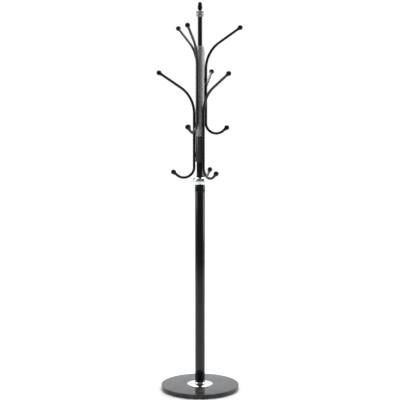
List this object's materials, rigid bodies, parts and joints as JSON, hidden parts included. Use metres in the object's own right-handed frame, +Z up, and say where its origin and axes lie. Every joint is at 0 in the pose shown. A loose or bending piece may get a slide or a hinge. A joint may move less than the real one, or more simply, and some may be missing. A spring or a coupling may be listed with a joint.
{
  "type": "standing coat rack",
  "caption": "Tree-style standing coat rack: round polished stone base, black pole with chrome fittings, and a head of bent black rods with ball-tipped arms and J hooks.",
  "frame": {"origin": "centre of the footprint on the floor, on the pole's axis", "axes": "+Z up along the pole, +X towards the first upper-tier hook, -Y towards the viewer"},
  "size_m": [0.382, 0.3772, 1.75],
  "materials": {
    "stone": "polished granite, dark grey with fine speckle",
    "rubber": "matte",
    "steel": "zinc-plated",
    "chrome": "bright polished",
    "satin_steel": "satin",
    "black_enamel": "gloss black",
    "head_enamel": "gloss dark grey",
    "rod_enamel": "gloss black",
    "black_gloss": "gloss black"
  },
  "bodies": {
    "root": {"stone_base": "stone", "foot_pads": "rubber", "base_bolt": "steel", "base_washer": "steel", "floor_flange": "chrome", "lower_pole": "black_enamel", "pole_foot_plug": "steel", "pole_head_plug": "steel", "pole_ferrule": "black_enamel", "joint_bulb": "chrome", "joint_stud": "steel", "head_neck": "black_enamel", "lower_head_tube": "head_enamel", "upper_head_tube": "satin_steel", "tube_sleeve": "steel", "top_reducer": "satin_steel", "top_post": "black_enamel", "finial_collar": "satin_steel", "finial": "black_gloss", "hook_rod_1": "rod_enamel", "hook_rod_2": "rod_enamel", "hook_rod_3": "rod_enamel", "hook_rod_4": "rod_enamel", "hook_rod_5": "rod_enamel", "hook_rod_6": "rod_enamel", "rod_welds_1": "rod_enamel", "rod_welds_2": "rod_enamel", "rod_welds_3": "rod_enamel", "rod_welds_4": "rod_enamel", "rod_welds_5": "rod_enamel", "rod_welds_6": "rod_enamel", "arm_ball_1": "black_gloss", "arm_ball_2": "black_gloss", "arm_ball_3": "black_gloss", "arm_ball_4": "black_gloss", "arm_ball_5": "black_gloss", "arm_ball_6": "black_gloss", "hook_ball_1": "black_gloss", "hook_ball_2": "black_gloss", "hook_ball_3": "black_gloss", "hook_ball_4": "black_gloss", "hook_ball_5": "black_gloss", "hook_ball_6": "black_gloss"}
  },
  "joints": []
}
